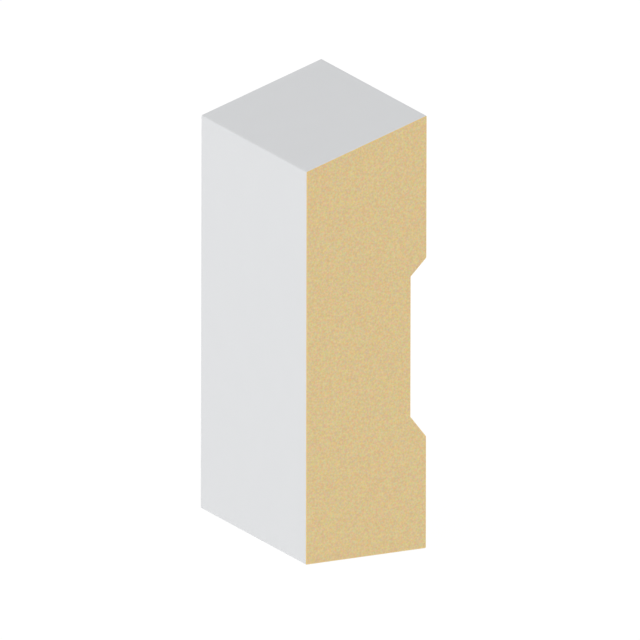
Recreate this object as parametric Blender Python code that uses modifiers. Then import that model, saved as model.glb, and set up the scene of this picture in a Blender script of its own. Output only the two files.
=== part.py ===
"""A short length of bevelled moulding, as used for door casings and skirtings.

It is one strip of medium-density fibreboard (MDF), 18 mm thick and 60 mm wide across its back. One narrow
edge is bevelled, so the back is wider than the front, and the other is square. The back is relieved by a
wide, shallow groove between two flat lands. The front and both narrow edges carry white primer, and the
back, the groove and the two sawn ends are bare board.

The moulding stands on its square edge. X runs along its length, Y from its front to its back, and Z up to
its bevelled edge. The origin is the centre of the foot: half-way along, half-way through, at the underside.
Run with: blender --background --python part.py
"""

import math

import bmesh
import bpy

MM = 0.001

# The strip itself
LENGTH = 30.8 * MM
THICKNESS = 18.0 * MM
BACK_WIDTH = 60.0 * MM
BEVEL_ANGLE = math.radians(17.0)

# The groove in the back, between the lower land and the upper land
LOWER_LAND = 15.5 * MM
UPPER_LAND = 19.7 * MM
GROOVE_DEPTH = 2.35 * MM
LOWER_SHOULDER_ANGLE = math.radians(52.0)
UPPER_SHOULDER_ANGLE = math.radians(45.0)

# The long outer edges are eased before priming, over this far from each corner
ARRIS_EASE = 0.10 * MM
ARRIS_SEGMENTS = 3

# Curve caps and sides closer than this are one point
WELD_DISTANCE = 0.001 * MM

# Neighbouring faces are one flat face up to the first turn, and are shaded as a crisp corner past the second
FLAT_TURN = math.radians(1.0)
CRISP_TURN = math.radians(35.0)

# A face looks along an axis where it is turned away from it by less than this
LOOKS_WITHIN = math.radians(25.0)

# Linear colours, with roughness
BARE_BOARD = ("bare MDF", (0.687, 0.527, 0.270), 0.92)
WHITE_PRIMER = ("white primer", (0.753, 0.761, 0.770), 0.55)


def clear_scene():
    """Removes every object that the start-up file brings."""
    for obj in list(bpy.data.objects):
        bpy.data.objects.remove(obj, do_unlink=True)


def collection(name):
    """A new collection in the scene."""
    made = bpy.data.collections.new(name)
    bpy.context.scene.collection.children.link(made)
    return made


def material(name, colour, roughness):
    """A plain, non-metallic Principled material."""
    made = bpy.data.materials.new(name)
    made.use_nodes = True
    shader = made.node_tree.nodes["Principled BSDF"]
    shader.inputs["Base Color"].default_value = (*colour, 1.0)
    shader.inputs["Roughness"].default_value = roughness
    shader.inputs["Metallic"].default_value = 0.0
    made.diffuse_color = (*colour, 1.0)
    return made


def section_outline():
    """The corners of the cut end as (depth, height), from the front of the foot round by the back."""
    front = -THICKNESS / 2
    back = THICKNESS / 2
    front_width = BACK_WIDTH - THICKNESS * math.tan(BEVEL_ANGLE)
    groove_floor = back - GROOVE_DEPTH
    lower_lip = LOWER_LAND
    upper_lip = BACK_WIDTH - UPPER_LAND
    floor_bottom = lower_lip + GROOVE_DEPTH * math.tan(LOWER_SHOULDER_ANGLE)
    floor_top = upper_lip - GROOVE_DEPTH * math.tan(UPPER_SHOULDER_ANGLE)
    return [
        (front, 0.0),
        (back, 0.0),
        (back, lower_lip),
        (groove_floor, floor_bottom),
        (groove_floor, floor_top),
        (back, upper_lip),
        (back, BACK_WIDTH),
        (front, front_width),
    ]


def extruded_outline(name, corners, length, parent_collection):
    """A flat closed outline, filled and extruded to both sides, turned so that its length lies along X."""
    curve = bpy.data.curves.new(name, "CURVE")
    curve.dimensions = "2D"
    curve.fill_mode = "BOTH"
    curve.extrude = length / 2
    spline = curve.splines.new("POLY")
    spline.points.add(len(corners) - 1)
    for point, (depth, height) in zip(spline.points, corners):
        point.co = (depth, height, 0.0, 1.0)
    spline.use_cyclic_u = True
    obj = bpy.data.objects.new(name, curve)
    # The curve's own x, y and z become world Y, Z and X
    obj.rotation_euler = (math.radians(90), 0.0, math.radians(90))
    parent_collection.objects.link(obj)
    return obj


def solid_mesh(curve_object, name, parent_collection):
    """The curve as one welded mesh object in the same place. The curve is removed."""
    bpy.context.view_layer.update()
    graph = bpy.context.evaluated_depsgraph_get()
    mesh = bpy.data.meshes.new_from_object(curve_object.evaluated_get(graph))
    place = curve_object.matrix_world.copy()
    bpy.data.objects.remove(curve_object, do_unlink=True)
    shape = bmesh.new()
    shape.from_mesh(mesh)
    bmesh.ops.remove_doubles(shape, verts=shape.verts, dist=WELD_DISTANCE)
    bmesh.ops.transform(shape, matrix=place, verts=shape.verts)
    bmesh.ops.dissolve_limit(shape, angle_limit=FLAT_TURN, verts=shape.verts, edges=shape.edges)
    bmesh.ops.recalc_face_normals(shape, faces=shape.faces)
    shape.to_mesh(mesh)
    shape.free()
    mesh.name = name
    obj = bpy.data.objects.new(name, mesh)
    parent_collection.objects.link(obj)
    return obj


def ease_long_edges(obj):
    """Rounds the outer edges that run along the moulding.

    The groove's inner corners and the edges of the sawn ends stay sharp.
    """
    shape = bmesh.new()
    shape.from_mesh(obj.data)
    weight = shape.edges.layers.float.new("bevel_weight_edge")
    for edge in shape.edges:
        start, end = (vertex.co for vertex in edge.verts)
        runs_along = abs(end.x - start.x) > LENGTH / 2
        edge[weight] = 1.0 if runs_along and edge.is_convex else 0.0
    shape.to_mesh(obj.data)
    shape.free()
    bevel = obj.modifiers.new("eased long edges", "BEVEL")
    bevel.limit_method = "WEIGHT"
    bevel.width = ARRIS_EASE
    bevel.segments = ARRIS_SEGMENTS
    bevel.harden_normals = True


def prime_front_and_edges(obj, board, primer):
    """Gives the front and both narrow edges the primer, and leaves the other faces bare board."""
    obj.data.materials.clear()
    obj.data.materials.append(board)
    obj.data.materials.append(primer)
    nearly_all = math.cos(LOOKS_WITHIN)
    for face in obj.data.polygons:
        faces_front = face.normal.y < -nearly_all
        is_narrow_edge = abs(face.normal.z) > nearly_all
        face.material_index = 1 if faces_front or is_narrow_edge else 0


def keep_corners_crisp(obj):
    """Smooth shading that stops at every corner of the section and at the sawn ends."""
    obj.data.shade_smooth()
    obj.data.set_sharp_from_angle(angle=CRISP_TURN)


def build_moulding():
    """The whole moulding, one solid."""
    parts = collection("bevelled moulding")
    outline = extruded_outline("outline", section_outline(), LENGTH, parts)
    moulding = solid_mesh(outline, "moulding", parts)
    prime_front_and_edges(moulding, material(*BARE_BOARD), material(*WHITE_PRIMER))
    keep_corners_crisp(moulding)
    ease_long_edges(moulding)
    return moulding


clear_scene()
build_moulding()
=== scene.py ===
# %% [markdown]
# This lesson dresses a short length of bevelled moulding, the kind that frames a door or runs along the foot
# of a wall. The real thing is one strip of medium-density fibreboard (MDF), machined to its section, primed
# white on its front and both narrow edges, and then sawn to length. Its bare board shows at the sawn ends and
# on the back.
#
# The solid that carries the sizes is made already. It is loaded first, as a fixed frame, and everything here
# is made in metres in that frame: X along the moulding, Y from its front to its back, Z up.

# %% Load the solid moulding as the frame
import math

import bmesh
import bpy
from mathutils import Matrix, Vector


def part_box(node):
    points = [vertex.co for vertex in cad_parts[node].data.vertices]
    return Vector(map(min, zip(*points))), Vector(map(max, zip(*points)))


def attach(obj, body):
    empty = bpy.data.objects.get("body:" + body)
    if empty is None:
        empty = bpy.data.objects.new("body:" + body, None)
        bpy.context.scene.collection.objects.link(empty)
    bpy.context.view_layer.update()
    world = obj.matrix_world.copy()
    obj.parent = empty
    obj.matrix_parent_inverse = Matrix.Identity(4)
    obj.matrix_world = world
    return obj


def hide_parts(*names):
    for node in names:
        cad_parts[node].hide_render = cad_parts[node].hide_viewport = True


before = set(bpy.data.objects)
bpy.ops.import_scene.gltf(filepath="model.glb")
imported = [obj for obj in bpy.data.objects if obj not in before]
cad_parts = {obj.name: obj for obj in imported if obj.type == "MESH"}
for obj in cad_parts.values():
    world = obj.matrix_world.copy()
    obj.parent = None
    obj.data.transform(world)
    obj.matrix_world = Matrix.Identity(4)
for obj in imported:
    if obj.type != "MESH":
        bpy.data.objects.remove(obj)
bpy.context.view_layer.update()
MM = 0.001

# %% [markdown]
# The camera comes next, because every later choice is judged through it. The picture to match has no
# perspective: edges that are parallel on the moulding are parallel in the picture. A perspective camera could
# only come near that from far away, so an orthographic one is used. Its direction and its scale were worked
# out from where the moulding's corners lie in the picture. They are written here as an azimuth, an elevation,
# a slight lean and the number of pixels that one millimetre covers.

# %% Set up the camera
# The picture is square, and this is its side in pixels
PICTURE = 640
PIXELS_PER_MM = 7.503
AZIMUTH = math.radians(62.835)
ELEVATION = math.radians(16.055)
LEAN = math.radians(0.105)
BACK_WIDTH = 60.0 * MM
MIDDLE = Vector((0, 0, BACK_WIDTH / 2))
# Where the middle of the moulding lies in the picture, in pixels from its left and top edges
MIDDLE_SEEN_AT = (313.7, 311.8)
CAMERA_DISTANCE = 0.5

turn = Matrix.Rotation(AZIMUTH, 3, "Z") @ Matrix.Rotation(math.pi / 2 - ELEVATION, 3, "X")
turn = turn @ Matrix.Rotation(LEAN, 3, "Z")
to_right, to_top, to_viewer = turn.col
right_of_middle = (PICTURE / 2 - MIDDLE_SEEN_AT[0]) / PIXELS_PER_MM * MM
below_middle = (PICTURE / 2 - MIDDLE_SEEN_AT[1]) / PIXELS_PER_MM * MM
aim = MIDDLE + to_right * right_of_middle - to_top * below_middle

camera = bpy.data.objects.new("camera", bpy.data.cameras.new("camera"))
bpy.context.scene.collection.objects.link(camera)
bpy.context.scene.camera = camera
camera.data.type = "ORTHO"
camera.data.ortho_scale = PICTURE / PIXELS_PER_MM * MM
camera.data.clip_start = 0.01
camera.data.clip_end = 20.0
camera.matrix_world = Matrix.Translation(aim + to_viewer * CAMERA_DISTANCE) @ turn.to_4x4()
print("The picture spans", round(camera.data.ortho_scale / MM, 2), "mm")

# %% [markdown]
# The section is settled before any mesh is made, as a joiner would draw it full size. It could be measured
# off the loaded solid point by point, but a named size says what it is. So only the length and the thickness
# are read from the frame, and the bevel and the relief groove in the back have their own names, with the
# solid's values. The primer is a film a few hundredths of a millimetre thick. The board under it is that much
# smaller wherever it is primed, and the finished moulding keeps its nominal size.

# %% Settle the section
low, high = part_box("moulding")
LENGTH = high.x - low.x
THICKNESS = high.y - low.y
BEVEL = math.radians(17.0)
LOWER_LAND = 15.5 * MM
UPPER_LAND = 19.7 * MM
GROOVE_DEPTH = 2.35 * MM
LOWER_SHOULDER = math.radians(52.0)
UPPER_SHOULDER = math.radians(45.0)
FILM = 0.04 * MM

BACK = THICKNESS / 2
FRONT = -THICKNESS / 2 + FILM
FOOT = FILM
BACK_TOP = BACK_WIDTH - FILM / math.cos(BEVEL)
FRONT_TOP = BACK_TOP - (BACK - FRONT) * math.tan(BEVEL)
LOWER_LIP = LOWER_LAND
UPPER_LIP = BACK_WIDTH - UPPER_LAND
FLOOR_BOTTOM = LOWER_LIP + GROOVE_DEPTH * math.tan(LOWER_SHOULDER)
FLOOR_TOP = UPPER_LIP - GROOVE_DEPTH * math.tan(UPPER_SHOULDER)
mouth = round((UPPER_LIP - LOWER_LIP) / MM, 2)
floor_width = round((FLOOR_TOP - FLOOR_BOTTOM) / MM, 2)
print("The groove is", mouth, "mm wide at its mouth and", floor_width, "mm at its floor")

# %% [markdown]
# The board could be drawn as an outline and extruded, but that leaves one many-sided face at each end, which
# can't be divided evenly later. A cube that is cut into bands stays made of four-sided faces only. It starts
# at the size of the board's blank, and four level cuts go through it, at the groove's lips and at the edges
# of its floor.

# %% Saw the blank
bpy.ops.object.select_all(action="DESELECT")
bpy.ops.mesh.primitive_cube_add(
    size=1,
    location=(0, (FRONT + BACK) / 2, (FOOT + BACK_TOP) / 2),
    scale=(LENGTH, BACK - FRONT, BACK_TOP - FOOT),
)
board = bpy.context.object
board.name = "mdf_board"
bpy.ops.object.transform_apply(location=True, rotation=True, scale=True)
bpy.ops.object.mode_set(mode="EDIT")
for level in (LOWER_LIP, FLOOR_BOTTOM, FLOOR_TOP, UPPER_LIP):
    bpy.ops.mesh.select_all(action="SELECT")
    bpy.ops.mesh.bisect(plane_co=(0, 0, level), plane_no=(0, 0, 1))
print("Blank with", len(bmesh.from_edit_mesh(board.data).faces), "faces")

# %% [markdown]
# Modelling in edit mode is a matter of picking the right points, edges or faces and then moving, cutting or
# rounding them. By hand that is done with the mouse. Here a small helper does it, by a test on each one's
# place or direction, because a test still finds the right ones when a size has changed. It is tried out on
# the blank, whose cuts have given it four points for each of its six levels.

# %% A helper for picking things
TOUCH = 0.001 * MM


def pick(obj, kind, test):
    """In edit mode, picks each VERT, EDGE or FACE that passes a test, and nothing else. Counts them."""
    bpy.ops.mesh.select_mode(type=kind)
    bpy.ops.mesh.select_all(action="DESELECT")
    mesh = bmesh.from_edit_mesh(obj.data)
    elements = {"VERT": mesh.verts, "EDGE": mesh.edges, "FACE": mesh.faces}[kind]
    picked = [element for element in elements if test(element)]
    for element in picked:
        element.select_set(True)
    mesh.select_flush_mode()
    bmesh.update_edit_mesh(obj.data)
    return len(picked)


print("Points on the blank:", pick(board, "VERT", lambda vertex: True))

# %% [markdown]
# On the real moulding one cutter plows the groove and another planes the bevel. Both take away board, and a
# Boolean with two cutting blocks could do the same. But on a mesh that is already cut into bands it is enough
# to move a few points, and the faces stay four-sided: the groove's floor goes in from the back, and the front
# of the top edge goes down.

# %% Plow the groove and plane the bevel
def is_groove_floor(vertex):
    on_back = vertex.co.y > BACK - TOUCH
    return on_back and FLOOR_BOTTOM - TOUCH < vertex.co.z < FLOOR_TOP + TOUCH


def is_front_top(vertex):
    return vertex.co.y < FRONT + TOUCH and vertex.co.z > BACK_TOP - TOUCH


moved_in = pick(board, "VERT", is_groove_floor)
bpy.ops.transform.translate(value=(0, -GROOVE_DEPTH, 0))
moved_down = pick(board, "VERT", is_front_top)
bpy.ops.transform.translate(value=(0, 0, FRONT_TOP - BACK_TOP))
print("Groove:", moved_in, "points moved in. Bevel:", moved_down, "points moved down")

# %% [markdown]
# The sawn ends and the back aren't perfectly flat, and a mesh can only show that if it has points to move. A
# modifier could divide every face alike, but then the narrow bands would get long thin cells. So edges are
# divided by their own length, one set of parallel edges at a time. That takes two helpers that tell the sets
# apart, by how far an edge reaches and where its middle is, and one that divides.

# %% Helpers for dividing edges
CELL = 0.4 * MM


def span(edge):
    """How far an edge reaches along X, Y and Z."""
    start, end = (vertex.co for vertex in edge.verts)
    return Vector(abs(step) for step in end - start)


def middle(edge):
    """The point half-way along an edge."""
    return (edge.verts[0].co + edge.verts[1].co) / 2


def divide(obj, test):
    """Divides the edges that pass a test into as many cells as the longest one holds. Counts the cells."""
    pick(obj, "EDGE", test)
    picked = [edge for edge in bmesh.from_edit_mesh(obj.data).edges if edge.select]
    cells = round(max(edge.calc_length() for edge in picked) / CELL)
    bpy.ops.mesh.subdivide(number_cuts=cells - 1)
    return cells


longest = max(edge.calc_length() for edge in bmesh.from_edit_mesh(board.data).edges)
print("The longest edge of", round(longest / MM, 1), "mm holds about", round(longest / CELL), "cells")

# %% [markdown]
# The cells are ruled over the whole board like squared paper. The edges that climb are divided band by band,
# because the bands differ in height, and then come those that run through the board and those along it.

# %% Rule even cells over the board
def climbs_between(bottom, top):
    """A test for edges that climb through the band between two levels."""

    def test(edge):
        reach = span(edge)
        # The groove's shoulders climb at least as far as they reach in, and the bevel not half as far
        climbs = reach.z > reach.y / 2 and reach.x < TOUCH
        return climbs and bottom < middle(edge).z < top

    return test


bands = [FOOT, LOWER_LIP, FLOOR_BOTTOM, FLOOR_TOP, UPPER_LIP, BACK_TOP]
cells_up = [divide(board, climbs_between(bottom, top)) for bottom, top in zip(bands, bands[1:])]
cells_through = divide(board, lambda edge: span(edge).y > THICKNESS / 2)
cells_along = divide(board, lambda edge: span(edge).x > LENGTH / 2)
print("Cells up", cells_up, "through", cells_through, "along", cells_along)

# %% [markdown]
# No board keeps knife-sharp corners. The long corners are rubbed down before priming, and the saw leaves a
# tiny broken edge round each end. A modifier could round every corner by one width, but these two widths
# differ, so the Bevel operator goes over picked edges twice. It rounds the long corners first, in three
# steps, and then takes a single narrow facet off the rim of each end. The two inner corners of the groove
# stay sharp, because a cutter makes them.

# %% Ease the long corners and the sawn rims
EASE = 0.10 * MM
RIM = 0.08 * MM
CORNER = math.radians(20)


def is_long_corner(edge):
    runs_along = span(edge).x > TOUCH
    return runs_along and edge.is_convex and edge.calc_face_angle() > CORNER


def is_end_rim(edge):
    at_end = all(abs(vertex.co.x) > LENGTH / 2 - TOUCH for vertex in edge.verts)
    return at_end and edge.calc_face_angle() > CORNER


long_corners = pick(board, "EDGE", is_long_corner)
bpy.ops.mesh.bevel(offset=EASE, segments=3, affect="EDGES")
rims = pick(board, "EDGE", is_end_rim)
bpy.ops.mesh.bevel(offset=RIM, segments=1, affect="EDGES")
print("Eased", long_corners, "edges along the corners and", rims, "round the ends")

# %% [markdown]
# Primer is a skin on the board. It could be painted in by a material alone, but then its edge at the saw cut
# would have no thickness. So the faces that were sprayed are copied off the board as an object of their own,
# which gets a wall later on. The saw cut came after the primer and broke the film at the rim, and that leaves
# a hairline of bare board there. The spray also goes half-way round the eased corners of the back.

# %% Copy off the primed faces
NEAR_EDGE = 1.0 * MM
# How much of a face's normal points along an axis: hardly any of it, or half of it
HARDLY = 0.1
HALF = 0.5


def is_primed(face):
    place, normal = face.calc_center_median(), face.normal
    if abs(normal.x) > HARDLY:
        return False
    on_narrow_edge = place.z < NEAR_EDGE or place.z > BACK_WIDTH - NEAR_EDGE
    return normal.y < -HARDLY or (on_narrow_edge and normal.y < HALF)


primed = pick(board, "FACE", is_primed)
bpy.ops.mesh.duplicate()
bpy.ops.mesh.separate(type="SELECTED")
bpy.ops.object.mode_set(mode="OBJECT")
coat = next(obj for obj in bpy.context.selected_objects if obj != board)
coat.name = "primer_coat"
print("Primer covers", primed, "of the board's", len(board.data.polygons), "faces")

# %% [markdown]
# Tools leave marks that are too shallow to read as shape but that catch light from the side. They could be
# left to the finish, as bump, but then a close look along the surface would show it flat. Displace can press
# them in: it moves points along their normals by the grey of a texture. A middle level of 1 makes white the
# untouched level, so that nothing stands proud. An empty places the texture and sets its size.

# %% Helpers for pressing marks in
def select_alone(obj):
    """Leaves one object selected, as the active one."""
    bpy.ops.object.select_all(action="DESELECT")
    obj.select_set(True)
    bpy.context.view_layer.objects.active = obj


def press_in(obj, name, test, texture, depth, place=(0, 0, 0), size=(1, 1, 1)):
    """Presses a texture into the points that pass a test, at most as deep as depth. Counts the points."""
    select_alone(obj)
    bpy.ops.object.mode_set(mode="EDIT")
    points = pick(obj, "VERT", test)
    obj.vertex_groups.new(name=name)
    bpy.ops.object.vertex_group_assign()
    bpy.ops.object.mode_set(mode="OBJECT")

    guide = bpy.data.objects.new(name, None)
    bpy.context.scene.collection.objects.link(guide)
    guide.location = place
    guide.scale = size
    bpy.context.view_layer.update()

    marks = obj.modifiers.new(name, "DISPLACE")
    marks.texture = texture
    marks.texture_coords = "OBJECT"
    marks.texture_coords_object = guide
    marks.vertex_group = name
    marks.mid_level = 1.0
    marks.strength = depth
    bpy.ops.object.modifier_apply(modifier=marks.name)
    obj.vertex_groups.remove(obj.vertex_groups[name])
    bpy.data.objects.remove(guide)
    return points


select_alone(board)
print("Ready to press marks into:", bpy.context.object.name)

# %% [markdown]
# Saw teeth sweep over the end in arcs with the radius of the blade. They could be cut one by one, but
# Blender's wood texture has rings, which are such arcs when their middle is put where the saw's arbor was,
# and a little turbulence keeps them from being ruled lines. The texture runs through 20 radians in one unit
# of its own, so the empty is scaled to turn that into the pitch of the marks.

# %% Saw marks on the ends
SAW_RADIUS = 125.0 * MM
SAW_LEAN = math.radians(35)
SAW_PITCH = 1.8 * MM
SAW_DEPTH = 0.012 * MM
SAW_WAVER = 2.0
RING_RADIANS = 20
# How much of a point's normal points straight out of a flat end, which leaves out the points on the rim
FLAT_ON = 0.99

arcs = bpy.data.textures.new("saw arcs", "WOOD")
arcs.wood_type = "RINGNOISE"
arcs.noise_basis_2 = "SIN"
arcs.turbulence = SAW_WAVER
ring = SAW_PITCH * RING_RADIANS / (2 * math.pi)


def on_sawn_end(side):
    """A test for points on the sawn end of one side, -1 or 1, but not on its rim."""
    return lambda vertex: vertex.normal.x * side > FLAT_ON


for side in (-1, 1):
    arbor = MIDDLE + SAW_RADIUS * Vector((0, -math.sin(SAW_LEAN), math.cos(SAW_LEAN)))
    arbor.x = side * LENGTH / 2
    points = press_in(board, "saw marks", on_sawn_end(side), arcs, SAW_DEPTH, arbor, [ring] * 3)
    print("Saw marks on", points, "points")

# %% [markdown]
# The groove's cutter spins while the board is fed past it, and every turn scoops a shallow wave across the
# groove. A formula for each point's depth could do that, but the wood texture's bands are such waves already.
# They lean over all three axes, so the empty is made huge along two of them, and then only the place along
# the moulding counts.

# %% Cutter waves in the groove
WAVE_PITCH = 2.0 * MM
WAVE_DEPTH = 0.012 * MM
BAND_RADIANS = 10
HUGE = 1000.0


def is_milled(vertex):
    along, through, up = vertex.co
    inside_rims = abs(along) < LENGTH / 2 - RIM - TOUCH
    return inside_rims and through > BACK - GROOVE_DEPTH - TOUCH and LOWER_LIP < up < UPPER_LIP


waves = bpy.data.textures.new("cutter waves", "WOOD")
waves.wood_type = "BANDS"
waves.noise_basis_2 = "SIN"
wave = WAVE_PITCH * BAND_RADIANS / (2 * math.pi)
points = press_in(board, "cutter waves", is_milled, waves, WAVE_DEPTH, size=(wave, HUGE, HUGE))
print("Waves on", points, "points")

# %% [markdown]
# Sprayed primer flows out before it dries, but never quite flat. A cloud texture gives the coat the faint
# swell that painters call orange peel. The coat is still a sheet with no thickness. It could be extruded, but
# Solidify keeps the wall even round the eased corners. A little of the wall reaches into the board, so that
# the two never share a surface.

# %% Let the primer flow out and give it its wall
BITE = 0.015 * MM
PEEL_LUMP = 1.6 * MM
PEEL_DEPTH = 0.006 * MM

peel = bpy.data.textures.new("orange peel", "CLOUDS")
peel.noise_scale = 1.0
peel.noise_depth = 1
points = press_in(coat, "orange peel", lambda vertex: True, peel, PEEL_DEPTH, size=[PEEL_LUMP] * 3)
print("Orange peel on", points, "points")

select_alone(coat)
wall = coat.modifiers.new("film", "SOLIDIFY")
wall.thickness = FILM + BITE
# An offset of 1 would put the whole wall outside the sheet, and this one leaves the bite inside it
wall.offset = 1 - 2 * BITE / wall.thickness
wall.use_even_offset = True
bpy.ops.object.modifier_apply(modifier=wall.name)
print("Primer coat has", len(coat.data.polygons), "faces with its wall")

# %% [markdown]
# The solid's node is now stood for by two pieces, the board and its coat. They could be joined, but apart
# either can be repainted by itself. Both ride on the moulding's only body. Corners sharper than a set angle
# stay crisp, and the rest is shaded smooth.

# %% Ride on the body
CRISP = math.radians(32)

for piece, slot in ((board, "mdf_board"), (coat, "white_primer")):
    select_alone(piece)
    bpy.ops.object.shade_smooth_by_angle(angle=CRISP)
    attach(piece, "root")
    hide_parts("moulding")
    print(piece.name, "has", len(piece.data.polygons), "faces")

# %% [markdown]
# Finishes are built from nodes. Each one could be written out node by node, but then a simple idea, such as a
# colour that wanders, would be lost among its wires. These two helpers save most of the wiring: one starts a
# material and sets its roughness, and the other adds a node and gives its inputs their values or their wires.

# %% Helpers for starting a finish and adding nodes
def start_finish(name, roughness):
    """A new material with its roughness set, its node tree and its shader."""
    finish = bpy.data.materials.new(name)
    finish.use_nodes = True
    shader = finish.node_tree.nodes["Principled BSDF"]
    shader.inputs["Roughness"].default_value = roughness
    return finish, finish.node_tree, shader


def put(tree, kind, inputs, **properties):
    """Adds a node. An input is given a value, or the socket of another node to follow."""
    node = tree.nodes.new("ShaderNode" + kind)
    for name, value in properties.items():
        setattr(node, name, value)
    for name, value in inputs.items():
        if isinstance(value, bpy.types.NodeSocket):
            tree.links.new(value, node.inputs[name])
        else:
            node.inputs[name].default_value = value
    return node


kinds = sum(name.startswith("ShaderNode") for name in dir(bpy.types))
print("Blender knows about", kinds, "kinds of shader node")

# %% [markdown]
# Three more helpers make one line of each idea: a step of arithmetic, a value stretched over another range,
# and a blend of two colours. Every socket could be given by its name, as most are here. But the Math and Mix
# nodes use one name for several sockets, so theirs are given by their numbers.

# %% Helpers for values and colours
COLOUR_A = 6
COLOUR_B = 7
COLOUR_OUT = 2


def reckon(tree, operation, first, second=0.0):
    """One step of arithmetic on two values."""
    return put(tree, "Math", {0: first, 1: second}, operation=operation).outputs["Value"]


def swing(tree, value, low, high, over=(0.0, 1.0), clamp=False):
    """A value that runs over one range, stretched to run from low to high instead."""
    limits = {"From Min": over[0], "From Max": over[1], "To Min": low, "To Max": high}
    return put(tree, "MapRange", {"Value": value, **limits}, clamp=clamp).outputs["Result"]


def blend(tree, amount, first, second):
    """A colour that goes from the first to the second as amount goes from 0 to 1."""
    inputs = {0: amount}
    for socket, colour in ((COLOUR_A, first), (COLOUR_B, second)):
        inputs[socket] = colour if isinstance(colour, bpy.types.NodeSocket) else (*colour, 1)
    return put(tree, "Mix", inputs, data_type="RGBA").outputs[COLOUR_OUT]


print("Colours enter a Mix node by sockets", COLOUR_A, "and", COLOUR_B, "and leave it by socket", COLOUR_OUT)

# %% [markdown]
# A finish belongs to some faces and not to others. One material could sort that out by place inside its
# nodes, but it would soon be too tangled to change. Blender lets every face name one of its object's
# materials, so this helper adds a finish and gives it to the faces that pass a test. The first finish of a
# piece goes on all its faces, and later ones take over where they belong.

# %% A helper for laying a finish on
def apply_to(obj, finish, test=lambda face: True):
    """Gives a finish to the faces that pass a test, and counts them."""
    select_alone(obj)
    obj.data.materials.append(finish)
    obj.active_material_index = len(obj.data.materials) - 1
    bpy.ops.object.mode_set(mode="EDIT")
    faces = pick(obj, "FACE", test)
    bpy.ops.object.material_slot_assign()
    bpy.ops.object.mode_set(mode="OBJECT")
    return faces


print("Finishes on the board so far:", len(board.data.materials))

# %% [markdown]
# Most patterns here start from noise. It reads Object coordinates, which are metres in the frame, so its
# lumps can be given in millimetres and it runs on unbroken from a face to its neighbour. Stretching the lumps
# and turning them makes fibres. A seed on the fourth axis gives another pattern of the same kind.

# %% Helpers for grain
SEED_STEP = 7.3


def grain(tree, lump, seed=0, stretch=(1, 1, 1), turn=0, detail=0.0):
    """Noise of 0 to 1 in lumps of one width, stretched along the axes and turned in the back's plane."""
    place = put(tree, "TexCoord", {}).outputs["Object"]
    turned = put(tree, "Mapping", {"Vector": place, "Rotation": (0, math.radians(turn), 0)})
    scale = [1 / (lump * times) for times in stretch]
    scaled = put(tree, "Mapping", {"Vector": turned.outputs["Vector"], "Scale": scale})
    inputs = {"Vector": scaled.outputs["Vector"], "W": seed * SEED_STEP, "Scale": 1.0, "Detail": detail}
    return put(tree, "TexNoise", inputs, noise_dimensions="4D").outputs["Fac"]


def raise_by(tree, shader, height, depth):
    """Shades a surface as if a height of 1 stood proud of a height of 0 by the depth."""
    bump = put(tree, "Bump", {"Height": height, "Strength": 1.0, "Distance": depth})
    tree.links.new(bump.outputs["Normal"], shader.inputs["Normal"])


print("Neighbouring seeds lie", SEED_STEP, "lumps apart on the fourth axis")

# %% [markdown]
# Sawn MDF looks plain from a distance, but close to it is a felt of fibres from different trees, some paler,
# some redder, some greener. One grey noise would only make it lighter and darker. Three noises with their
# own seeds, one each for red, green and blue, make the faint change of hue as well. They aren't quite free of
# each other: a redder fibre throws back a little less blue, and a greener one a little more. No fibre is ever
# nearly white or black, so each noise is cut off at both ends, which keeps the felt even. The cut fibres
# stand up a little, which the bump shows.

# %% Finish of the sawn ends
SAWN_MDF = (0.745, 0.565, 0.284)
SAWN_ROUGHNESS = 0.9
FIBRE = 0.222 * MM
# How far red, green and blue swing either way, as shares of themselves
HUE_SWING = (0.082, 0.117, 0.159)
# The level of noise where a fibre is at its darkest, and where it is at its palest
FIBRE_SHOWS = (0.28, 0.72)
# How much of green minus red is added to blue
BLUE_FOLLOWS = 0.18
NAP = 0.004 * MM


def fibre_colour(tree, colour, swings):
    """A colour whose red, green and blue each wander by their own share round the given one."""
    red, green, blue = (grain(tree, FIBRE, seed) for seed in (1, 2, 3))
    greener = reckon(tree, "SUBTRACT", green, red)
    blue = reckon(tree, "ADD", blue, reckon(tree, "MULTIPLY", greener, BLUE_FOLLOWS))
    channels = {}
    for name, noise, mean, share in zip(("Red", "Green", "Blue"), (red, green, blue), colour, swings):
        darkest, palest = mean * (1 - share), mean * (1 + share)
        channels[name] = swing(tree, noise, darkest, palest, FIBRE_SHOWS, clamp=True)
    return put(tree, "CombineColor", channels).outputs["Color"]


sawn, tree, shader = start_finish("sawn MDF", SAWN_ROUGHNESS)
tree.links.new(fibre_colour(tree, SAWN_MDF, HUE_SWING), shader.inputs["Base Color"])
raise_by(tree, shader, grain(tree, FIBRE / 2, seed=4), NAP)
print("Sawn MDF on", apply_to(board, sawn), "faces to start with")

# %% [markdown]
# Round each cut the saw breaks the outermost fibres off. Broken fibre scatters more light, so the rim is a
# little paler than the face beside it, and its colour here is lifted paler and warmer still as a painted
# highlight, the bright hairline that the narrow rim facet catches. It could share the face's finish, but the
# crushed ends also blur the single fibres together, so its colour wanders much less.

# %% Finish of the broken rims, with a painted highlight
# How much paler and warmer the rim is painted than the sawn end: part broken fibre, part painted highlight
RIM_PALER_WITH_PAINTED_HIGHLIGHT = (1.16, 1.10, 0.84)
BROKEN_ROUGHNESS = 0.95
# How much of the swing in colour is left once the fibres are crushed
SWING_LEFT = 0.3
BROKEN_SWING = [SWING_LEFT * share for share in HUE_SWING]


def is_rim(face):
    at_end = abs(face.calc_center_median().x) > LENGTH / 2 - RIM
    return at_end and HARDLY < abs(face.normal.x) < FLAT_ON


broken, tree, shader = start_finish("broken fibre with painted highlight", BROKEN_ROUGHNESS)
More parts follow.
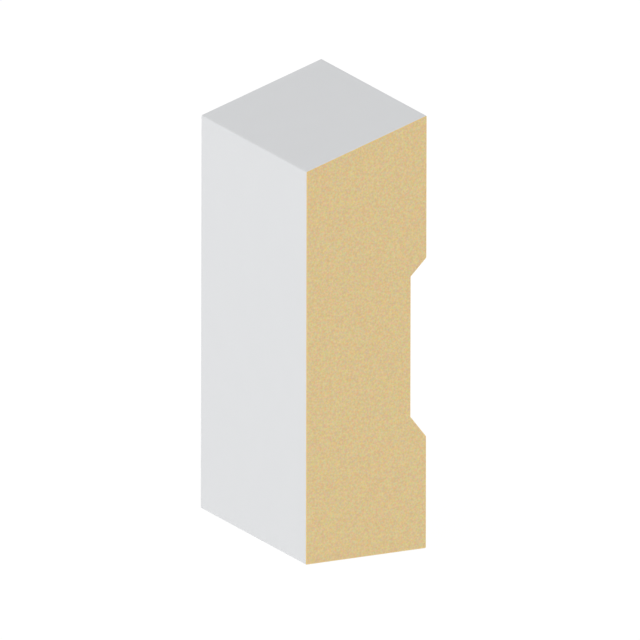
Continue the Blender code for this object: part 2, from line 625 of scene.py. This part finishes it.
# The rim's colour: the sawn colour lifted by the painted highlight
paler = [mean * gain for mean, gain in zip(SAWN_MDF, RIM_PALER_WITH_PAINTED_HIGHLIGHT)]
tree.links.new(fibre_colour(tree, paler, BROKEN_SWING), shader.inputs["Base Color"])
print("Broken fibre and painted highlight on", apply_to(board, broken, is_rim), "faces")

# %% [markdown]
# The board leaves the press with a denser skin, which is sanded smooth. Fibres lie flat in it and show as
# short strokes in every direction. Stretched noise makes strokes that all lie one way, so three layers are
# turned by 60 degrees from each other and the strongest of them shows at each point.

# %% Fibres of the sanded skin
STROKE = 0.12 * MM
STROKE_STRETCH = (9, 1, 1)
STROKE_TURNS = (0, 60, 120)
# The level of noise where a fibre begins to show, and where it shows in full
STROKE_SHOWS = (0.62, 0.80)


def strokes(tree, seed):
    """Short fibres that lie flat in three directions, from 0 between them to 1 on them."""
    strongest = 0.0
    for turn in STROKE_TURNS:
        layer = grain(tree, STROKE, seed + turn, STROKE_STRETCH, turn)
        strongest = reckon(tree, "MAXIMUM", layer, strongest)
    return swing(tree, strongest, 0.0, 1.0, STROKE_SHOWS, clamp=True)


stroke_length = round(STROKE * STROKE_STRETCH[0] / MM, 2)
print("Fibres about", stroke_length, "mm long, in", len(STROKE_TURNS), "directions")

# %% [markdown]
# The spray gun reaches a little round the long edges, so the back carries a mist of primer there. It is
# almost closed at the edge and thins out into a powder of droplets further in. A plain fade would look
# airbrushed, and noise alone would look torn. So the fade and the noise are added, and the sum is stretched
# over a wide range: at the edge it covers nearly all, and only the peaks of the noise reach the furthest.

# %% Overspray on the back
MIST_REACH = 1.7 * MM
MIST_WANDER = 0.45 * MM
MIST_LUMP = 6.0 * MM
# How much of the board's colour the mist hides where it is thickest
MIST_COVER = 0.92
DROPLET = 0.13 * MM
# The sum of fade and noise where primer begins to show, and where it shows in full
MIST_SHOWS = (0.80, 1.45)


def overspray(tree):
    """How much primer hides the back: most at the long edges, droplets further in, and then none."""
    place = put(tree, "TexCoord", {}).outputs["Object"]
    height = put(tree, "SeparateXYZ", {"Vector": place}).outputs["Z"]
    inset = reckon(tree, "MINIMUM", height, reckon(tree, "SUBTRACT", BACK_WIDTH, height))
    wander = swing(tree, grain(tree, MIST_LUMP, seed=31, detail=1.0), -MIST_WANDER, MIST_WANDER)
    mist = swing(tree, reckon(tree, "ADD", inset, wander), 1.0, 0.0, (0.0, MIST_REACH), clamp=True)
    droplets = reckon(tree, "ADD", mist, grain(tree, DROPLET, seed=32))
    return swing(tree, droplets, 0.0, MIST_COVER, MIST_SHOWS, clamp=True)


print("Overspray reaches about", round(MIST_REACH / MM, 1), "mm in from each long edge")

# %% [markdown]
# The skin itself is a shade browner than the sawn core, with faint blotches where the mat was denser. Belt
# sanding leaves hair-fine scratches along the feed, far too shallow to model, so they are bump. The fibres
# are laid over the blotches and the overspray over both, in the order in which they came about. The finish
# goes on everything between the ends, and the primer coat hides it where it was sprayed.

# %% Finish of the sanded back
SANDED_MDF = (0.70, 0.525, 0.275)
SANDED_ROUGHNESS = 0.8
FLAT_FIBRE = (0.53, 0.37, 0.18)
BLOTCH = 5.0 * MM
BLOTCH_SHADE = 0.96
SCRATCH = 0.10 * MM
SCRATCH_STRETCH = (60, 1, 1)
SCRATCH_DEPTH = 0.002 * MM
PRIMER = (0.745, 0.755, 0.768)

sanded, tree, shader = start_finish("sanded MDF", SANDED_ROUGHNESS)
denser = [BLOTCH_SHADE * part for part in SANDED_MDF]
blotches = blend(tree, grain(tree, BLOTCH, seed=33, detail=2.0), denser, SANDED_MDF)
fibres = blend(tree, strokes(tree, seed=34), blotches, FLAT_FIBRE)
tree.links.new(blend(tree, overspray(tree), fibres, PRIMER), shader.inputs["Base Color"])
raise_by(tree, shader, grain(tree, SCRATCH, seed=35, stretch=SCRATCH_STRETCH), SCRATCH_DEPTH)
between_ends = apply_to(board, sanded, lambda face: abs(face.normal.x) < HARDLY)
print("Sanded MDF on the", between_ends, "faces between the ends")

# %% [markdown]
# The groove goes through the skin into the core, where the fibres are looser. They tear a little and stay
# fuzzy, so this finish is paler and blotchier than the skin. Each wave of the cutter rubs its crest smoother,
# and that shows as faint bands. A sine of the place along the moulding draws them at the pitch of the waves
# in the mesh, so the two stay in step.

# %% Finish of the milled groove
MILLED_MDF = (0.735, 0.560, 0.300)
MILLED_ROUGHNESS = 0.92
TORN_MDF = (0.81, 0.645, 0.385)
TEAR = 0.7 * MM
TEAR_SHARE = 0.6
# The level of noise where a tear begins to show, and where it shows in full
TEAR_SHOWS = (0.52, 0.75)
# How much darker the trough of a wave is than its crest
BURNISH = 0.03
FUZZ = 0.012 * MM


def is_groove(face):
    place = face.calc_center_median()
    below_back = BACK - GROOVE_DEPTH - EASE < place.y < BACK - TOUCH
    return below_back and LOWER_LIP < place.z < UPPER_LIP and abs(face.normal.x) < HARDLY


milled, tree, shader = start_finish("milled MDF", MILLED_ROUGHNESS)
along = put(tree, "SeparateXYZ", {"Vector": put(tree, "TexCoord", {}).outputs["Object"]}).outputs["X"]
crest = reckon(tree, "SINE", reckon(tree, "MULTIPLY", along, 2 * math.pi / WAVE_PITCH))
band = swing(tree, crest, 1 - BURNISH, 1.0, (-1.0, 1.0))
core = fibre_colour(tree, MILLED_MDF, HUE_SWING)
torn = swing(tree, grain(tree, TEAR, seed=41, detail=3.0), 0.0, TEAR_SHARE, TEAR_SHOWS, clamp=True)
fuzzy = blend(tree, torn, core, TORN_MDF)
tinted = put(tree, "VectorMath", {0: fuzzy, "Scale": band}, operation="SCALE").outputs["Vector"]
tree.links.new(tinted, shader.inputs["Base Color"])
raise_by(tree, shader, grain(tree, FIBRE, seed=42, detail=2.0), FUZZ)
print("Milled MDF on", apply_to(board, milled, is_groove), "faces of the groove")

# %% [markdown]
# Factory primer is matt and almost even. What there is to see is the fine dry grain of the spray, patches
# that are a touch glossier, and patches where the paint is thinner and a touch darker. On the narrow edges
# the primer sinks into the open core of the board, so fibres telegraph through it. The front, over the dense
# skin, stays smooth. They could be two finishes with nothing in common, but it is one paint from one gun, so
# one function makes both.

# %% Finishes of the primer
THIN_PRIMER = (0.739, 0.749, 0.762)
THIN_PATCH = 4.0 * MM
# The level of noise where the primer is at its thinnest, and where it covers in full
THIN_SHOWS = (0.3, 0.7)
GLOSS_PATCH = 6.0 * MM
# The roughness of the primer in its glossier and in its duller patches
GLOSSIER = 0.52
DULLER = 0.68
SPRAY_GRAIN = 0.18 * MM
SPRAY_DEPTH = 0.0015 * MM
SUNK_STRETCH = (12, 1, 1)
SUNK_DEPTH = 0.004 * MM
# A face looks up or down where most of its normal does
MOSTLY = 0.9


def primer_finish(name, fibre_depth):
    """White primer. Fibres show through it as deep as fibre_depth."""
    finish, tree, shader = start_finish(name, (GLOSSIER + DULLER) / 2)
    cover = swing(tree, grain(tree, THIN_PATCH, seed=51, detail=3.0), 0.0, 1.0, THIN_SHOWS)
    tree.links.new(blend(tree, cover, THIN_PRIMER, PRIMER), shader.inputs["Base Color"])
    gloss = swing(tree, grain(tree, GLOSS_PATCH, seed=52, detail=2.0), GLOSSIER, DULLER)
    tree.links.new(gloss, shader.inputs["Roughness"])
    spray = reckon(tree, "MULTIPLY", grain(tree, SPRAY_GRAIN, seed=53), SPRAY_DEPTH)
    sunk = reckon(tree, "MULTIPLY", grain(tree, STROKE, seed=54, stretch=SUNK_STRETCH), fibre_depth)
    raise_by(tree, shader, reckon(tree, "ADD", spray, sunk), 1.0)
    return finish


faced = primer_finish("primer on the face", 0.0)
edged = primer_finish("primer on the narrow edges", SUNK_DEPTH)
all_faces = apply_to(coat, faced)
edge_faces = apply_to(coat, edged, lambda face: abs(face.normal.z) > MOSTLY)
print("Primer on", all_faces, "faces, of which", edge_faces, "on the narrow edges")

# %% [markdown]
# The moulding stands on a plain white floor. In the picture the ground is pure white without a shadow, as on
# a studio table that is lit from below through white acrylic. A white floor under strong lamps could be as
# bright, but it would catch shadows, so this one throws back little and glows by itself. The light that comes
# off it from all round also fills the upright faces, which would be dull otherwise.

# %% The floor
FLOOR_SIZE = 4.0
FLOOR_GAP = 0.02 * MM
ACRYLIC = (0.08, 0.08, 0.08)
ACRYLIC_ROUGHNESS = 1.0
GLOW = 0.956

bpy.ops.object.select_all(action="DESELECT")
bpy.ops.mesh.primitive_plane_add(size=FLOOR_SIZE, location=(0, 0, -FLOOR_GAP))
floor = bpy.context.object
floor.name = "floor"
bpy.ops.object.transform_apply(location=True, rotation=True, scale=True)
acrylic, tree, shader = start_finish("white acrylic", ACRYLIC_ROUGHNESS)
shader.inputs["Base Color"].default_value = (*ACRYLIC, 1)
shader.inputs["Emission Color"].default_value = (1, 1, 1, 1)
shader.inputs["Emission Strength"].default_value = GLOW
shader.inputs["Specular IOR Level"].default_value = 0.0
floor.data.materials.append(acrylic)
print("Floor", FLOOR_SIZE, "m square")

# %% [markdown]
# From low down the eye looks past the far edge of the floor into the grey surround, and the ground would seem
# to end there. Studios close that gap with a white sweep that curves up from the floor. Here a low wall of
# the same acrylic is enough, because a view without perspective never takes in more of its height than the
# picture itself is high. A circle is drawn below the floor's level, and its edge is extruded up past it.

# %% The backdrop
BACKDROP_RADIUS = 1.9
BACKDROP_HEIGHT = 0.1
BACKDROP_SIDES = 96

bpy.ops.object.select_all(action="DESELECT")
bpy.ops.mesh.primitive_circle_add(
    vertices=BACKDROP_SIDES,
    radius=BACKDROP_RADIUS,
    location=(0, 0, -BACKDROP_HEIGHT),
)
backdrop = bpy.context.object
backdrop.name = "backdrop"
bpy.ops.object.transform_apply(location=True, rotation=True, scale=True)
bpy.ops.object.mode_set(mode="EDIT")
bpy.ops.mesh.extrude_edges_move(TRANSFORM_OT_translate={"value": (0, 0, 2 * BACKDROP_HEIGHT)})
bpy.ops.object.mode_set(mode="OBJECT")
backdrop.data.materials.append(acrylic)
print("Backdrop with", len(backdrop.data.polygons), "faces")

# %% [markdown]
# The picture shows each face in one even tone, the front lightest and the bevel a little darker. Light from
# all round could give even tones by itself, but it would hide every mark in the surfaces. So the glowing
# floor and a white surround give most of the light, and three soft boxes add the rest, each from its own
# side. The front looks out over the floor and the bevel looks away from it, which gives the front its lead.
# The key stands in front and above. The other two lift the cut end and, for whoever walks round it, the back.

# %% The lights
SURROUND = 0.469
SOFTBOX_SIZE = 0.8
SOFTBOX_DISTANCE = 1.2

world = bpy.data.worlds.new("studio")
bpy.context.scene.world = world
world.use_nodes = True
world.node_tree.nodes["Background"].inputs["Color"].default_value = (1, 1, 1, 1)
world.node_tree.nodes["Background"].inputs["Strength"].default_value = SURROUND
bpy.context.scene.view_settings.view_transform = "Standard"


def softbox(name, azimuth, elevation, power):
    """A square lamp that looks at the middle of the moulding from an azimuth and an elevation, in degrees."""
    lamp = bpy.data.lights.new(name, "AREA")
    lamp.shape = "SQUARE"
    lamp.size = SOFTBOX_SIZE
    lamp.energy = power
    obj = bpy.data.objects.new(name, lamp)
    bpy.context.scene.collection.objects.link(obj)
    around, up = math.radians(azimuth), math.radians(elevation)
    outward = Vector((math.sin(around) * math.cos(up), -math.cos(around) * math.cos(up), math.sin(up)))
    obj.location = MIDDLE + outward * SOFTBOX_DISTANCE
    obj.rotation_euler = outward.to_track_quat("Z", "Y").to_euler()
    print(name, "of", power, "W")


softbox("key", azimuth=-15, elevation=42, power=5.31)
softbox("side fill", azimuth=100, elevation=25, power=2.81)
softbox("back fill", azimuth=200, elevation=30, power=2.25)

# %% [markdown] The dressed moulding has to keep the size of the solid.
